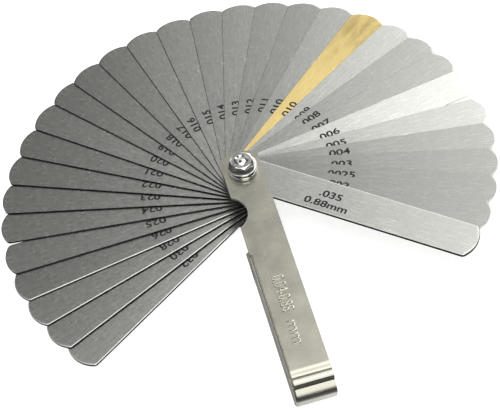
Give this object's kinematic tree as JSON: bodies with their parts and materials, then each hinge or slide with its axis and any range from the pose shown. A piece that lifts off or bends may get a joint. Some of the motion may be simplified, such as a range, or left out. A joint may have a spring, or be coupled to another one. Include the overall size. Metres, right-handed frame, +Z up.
{
  "type": "feeler gauge",
  "caption": "Fan of loose thickness leaves in steel and brass that turn on one clamped screw and fold into a sheet-metal case.",
  "frame": {"origin": "centre of the screw head's flat underside, on the pivot axis", "axes": "+Z up along the pivot axis towards the nut, -Y along the case from the pivot to its closed end, +X to the case's open side"},
  "size_m": [0.166, 0.173, 0.0204],
  "materials": {
    "ground_steel": "ground satin steel with fine random scratches, etched black numbers",
    "brass": "satin brass",
    "nickel_plate": "warm grey satin nickel plate",
    "zinc_plate": "bright zinc plate"
  },
  "bodies": {
    "holder": {"case": "nickel_plate", "pivot_screw": "zinc_plate", "lower_washer": "zinc_plate", "spring_washer": "zinc_plate", "upper_washer": "zinc_plate", "pivot_nut": "zinc_plate"},
    "leaf_035": {"leaf_035": "ground_steel"},
    "leaf_0015": {"leaf_0015": "ground_steel"},
    "leaf_002": {"leaf_002": "ground_steel"},
    "leaf_0025": {"leaf_0025": "ground_steel"},
    "leaf_003": {"leaf_003": "ground_steel"},
    "leaf_004": {"leaf_004": "ground_steel"},
    "leaf_005": {"leaf_005": "ground_steel"},
    "leaf_006": {"leaf_006": "ground_steel"},
    "leaf_007": {"leaf_007": "ground_steel"},
    "leaf_008": {"leaf_008": "ground_steel"},
    "leaf_009": {"leaf_009": "ground_steel"},
    "leaf_010_brass": {"leaf_010_brass": "brass"},
    "leaf_010": {"leaf_010": "ground_steel"},
    "leaf_011": {"leaf_011": "ground_steel"},
    "leaf_012": {"leaf_012": "ground_steel"},
    "leaf_013": {"leaf_013": "ground_steel"},
    "leaf_014": {"leaf_014": "ground_steel"},
    "leaf_015": {"leaf_015": "ground_steel"},
    "leaf_016": {"leaf_016": "ground_steel"},
    "leaf_017": {"leaf_017": "ground_steel"},
    "leaf_018": {"leaf_018": "ground_steel"},
    "leaf_019": {"leaf_019": "ground_steel"},
    "leaf_020": {"leaf_020": "ground_steel"},
    "leaf_021": {"leaf_021": "ground_steel"},
    "leaf_022": {"leaf_022": "ground_steel"},
    "leaf_023": {"leaf_023": "ground_steel"},
    "leaf_024": {"leaf_024": "ground_steel"},
    "leaf_025": {"leaf_025": "ground_steel"},
    "leaf_026": {"leaf_026": "ground_steel"},
    "leaf_028": {"leaf_028": "ground_steel"},
    "leaf_030": {"leaf_030": "ground_steel"},
    "leaf_032": {"leaf_032": "ground_steel"}
  },
  "joints": [
    {"name": "leaf_035_swing", "type": "hinge", "parent": "holder", "child": "leaf_035", "pos_m": [0, 0, 0.009], "axis": [0, 0, 1], "range_deg": [-47.6, 289.9]},
    {"name": "leaf_0015_swing", "type": "hinge", "parent": "holder", "child": "leaf_0015", "pos_m": [0, 0, 0.009], "axis": [0, 0, 1], "range_deg": [-47.6, 289.9]},
    {"name": "leaf_002_swing", "type": "hinge", "parent": "holder", "child": "leaf_002", "pos_m": [0, 0, 0.009], "axis": [0, 0, 1], "range_deg": [-55.7, 281.8]},
    {"name": "leaf_0025_swing", "type": "hinge", "parent": "holder", "child": "leaf_0025", "pos_m": [0, 0, 0.009], "axis": [0, 0, 1], "range_deg": [-63.8, 273.7]},
    {"name": "leaf_003_swing", "type": "hinge", "parent": "holder", "child": "leaf_003", "pos_m": [0, 0, 0.009], "axis": [0, 0, 1], "range_deg": [-71.9, 265.6]},
    {"name": "leaf_004_swing", "type": "hinge", "parent": "holder", "child": "leaf_004", "pos_m": [0, 0, 0.009], "axis": [0, 0, 1], "range_deg": [-80, 257.5]},
    {"name": "leaf_005_swing", "type": "hinge", "parent": "holder", "child": "leaf_005", "pos_m": [0, 0, 0.009], "axis": [0, 0, 1], "range_deg": [-88.5, 249]},
    {"name": "leaf_006_swing", "type": "hinge", "parent": "holder", "child": "leaf_006", "pos_m": [0, 0, 0.009], "axis": [0, 0, 1], "range_deg": [-98.8, 238.7]},
    {"name": "leaf_007_swing", "type": "hinge", "parent": "holder", "child": "leaf_007", "pos_m": [0, 0, 0.009], "axis": [0, 0, 1], "range_deg": [-107.1, 230.4]},
    {"name": "leaf_008_swing", "type": "hinge", "parent": "holder", "child": "leaf_008", "pos_m": [0, 0, 0.009], "axis": [0, 0, 1], "range_deg": [-115.4, 222.1]},
    {"name": "leaf_009_swing", "type": "hinge", "parent": "holder", "child": "leaf_009", "pos_m": [0, 0, 0.009], "axis": [0, 0, 1], "range_deg": [-123.7, 213.8]},
    {"name": "leaf_010_brass_swing", "type": "hinge", "parent": "holder", "child": "leaf_010_brass", "pos_m": [0, 0, 0.009], "axis": [0, 0, 1], "range_deg": [-132.5, 205]},
    {"name": "leaf_010_swing", "type": "hinge", "parent": "holder", "child": "leaf_010", "pos_m": [0, 0, 0.009], "axis": [0, 0, 1], "range_deg": [-141, 196.5]},
    {"name": "leaf_011_swing", "type": "hinge", "parent": "holder", "child": "leaf_011", "pos_m": [0, 0, 0.009], "axis": [0, 0, 1], "range_deg": [-149.5, 188]},
    {"name": "leaf_012_swing", "type": "hinge", "parent": "holder", "child": "leaf_012", "pos_m": [0, 0, 0.009], "axis": [0, 0, 1], "range_deg": [-158, 179.5]},
    {"name": "leaf_013_swing", "type": "hinge", "parent": "holder", "child": "leaf_013", "pos_m": [0, 0, 0.009], "axis": [0, 0, 1], "range_deg": [-166.5, 171]},
    {"name": "leaf_014_swing", "type": "hinge", "parent": "holder", "child": "leaf_014", "pos_m": [0, 0, 0.009], "axis": [0, 0, 1], "range_deg": [-175, 162.5]},
    {"name": "leaf_015_swing", "type": "hinge", "parent": "holder", "child": "leaf_015", "pos_m": [0, 0, 0.009], "axis": [0, 0, 1], "range_deg": [-184, 153.5]},
    {"name": "leaf_016_swing", "type": "hinge", "parent": "holder", "child": "leaf_016", "pos_m": [0, 0, 0.009], "axis": [0, 0, 1], "range_deg": [-192.55, 144.95]},
    {"name": "leaf_017_swing", "type": "hinge", "parent": "holder", "child": "leaf_017", "pos_m": [0, 0, 0.009], "axis": [0, 0, 1], "range_deg": [-201.1, 136.4]},
    {"name": "leaf_018_swing", "type": "hinge", "parent": "holder", "child": "leaf_018", "pos_m": [0, 0, 0.009], "axis": [0, 0, 1], "range_deg": [-209.65, 127.85]},
    {"name": "leaf_019_swing", "type": "hinge", "parent": "holder", "child": "leaf_019", "pos_m": [0, 0, 0.009], "axis": [0, 0, 1], "range_deg": [-217.35, 120.15]},
    {"name": "leaf_020_swing", "type": "hinge", "parent": "holder", "child": "leaf_020", "pos_m": [0, 0, 0.009], "axis": [0, 0, 1], "range_deg": [-226.15, 111.35]},
    {"name": "leaf_021_swing", "type": "hinge", "parent": "holder", "child": "leaf_021", "pos_m": [0, 0, 0.009], "axis": [0, 0, 1], "range_deg": [-234.95, 102.55]},
    {"name": "leaf_022_swing", "type": "hinge", "parent": "holder", "child": "leaf_022", "pos_m": [0, 0, 0.009], "axis": [0, 0, 1], "range_deg": [-243.75, 93.75]},
    {"name": "leaf_023_swing", "type": "hinge", "parent": "holder", "child": "leaf_023", "pos_m": [0, 0, 0.009], "axis": [0, 0, 1], "range_deg": [-252.55, 84.95]},
    {"name": "leaf_024_swing", "type": "hinge", "parent": "holder", "child": "leaf_024", "pos_m": [0, 0, 0.009], "axis": [0, 0, 1], "range_deg": [-261.35, 76.15]},
    {"name": "leaf_025_swing", "type": "hinge", "parent": "holder", "child": "leaf_025", "pos_m": [0, 0, 0.009], "axis": [0, 0, 1], "range_deg": [-270.85, 66.65]},
    {"name": "leaf_026_swing", "type": "hinge", "parent": "holder", "child": "leaf_026", "pos_m": [0, 0, 0.009], "axis": [0, 0, 1], "range_deg": [-279.4, 58.1]},
    {"name": "leaf_028_swing", "type": "hinge", "parent": "holder", "child": "leaf_028", "pos_m": [0, 0, 0.009], "axis": [0, 0, 1], "range_deg": [-287.95, 49.55]},
    {"name": "leaf_030_swing", "type": "hinge", "parent": "holder", "child": "leaf_030", "pos_m": [0, 0, 0.009], "axis": [0, 0, 1], "range_deg": [-296.5, 41]},
    {"name": "leaf_032_swing", "type": "hinge", "parent": "holder", "child": "leaf_032", "pos_m": [0, 0, 0.009], "axis": [0, 0, 1], "range_deg": [-304.2, 33.3]}
  ]
}
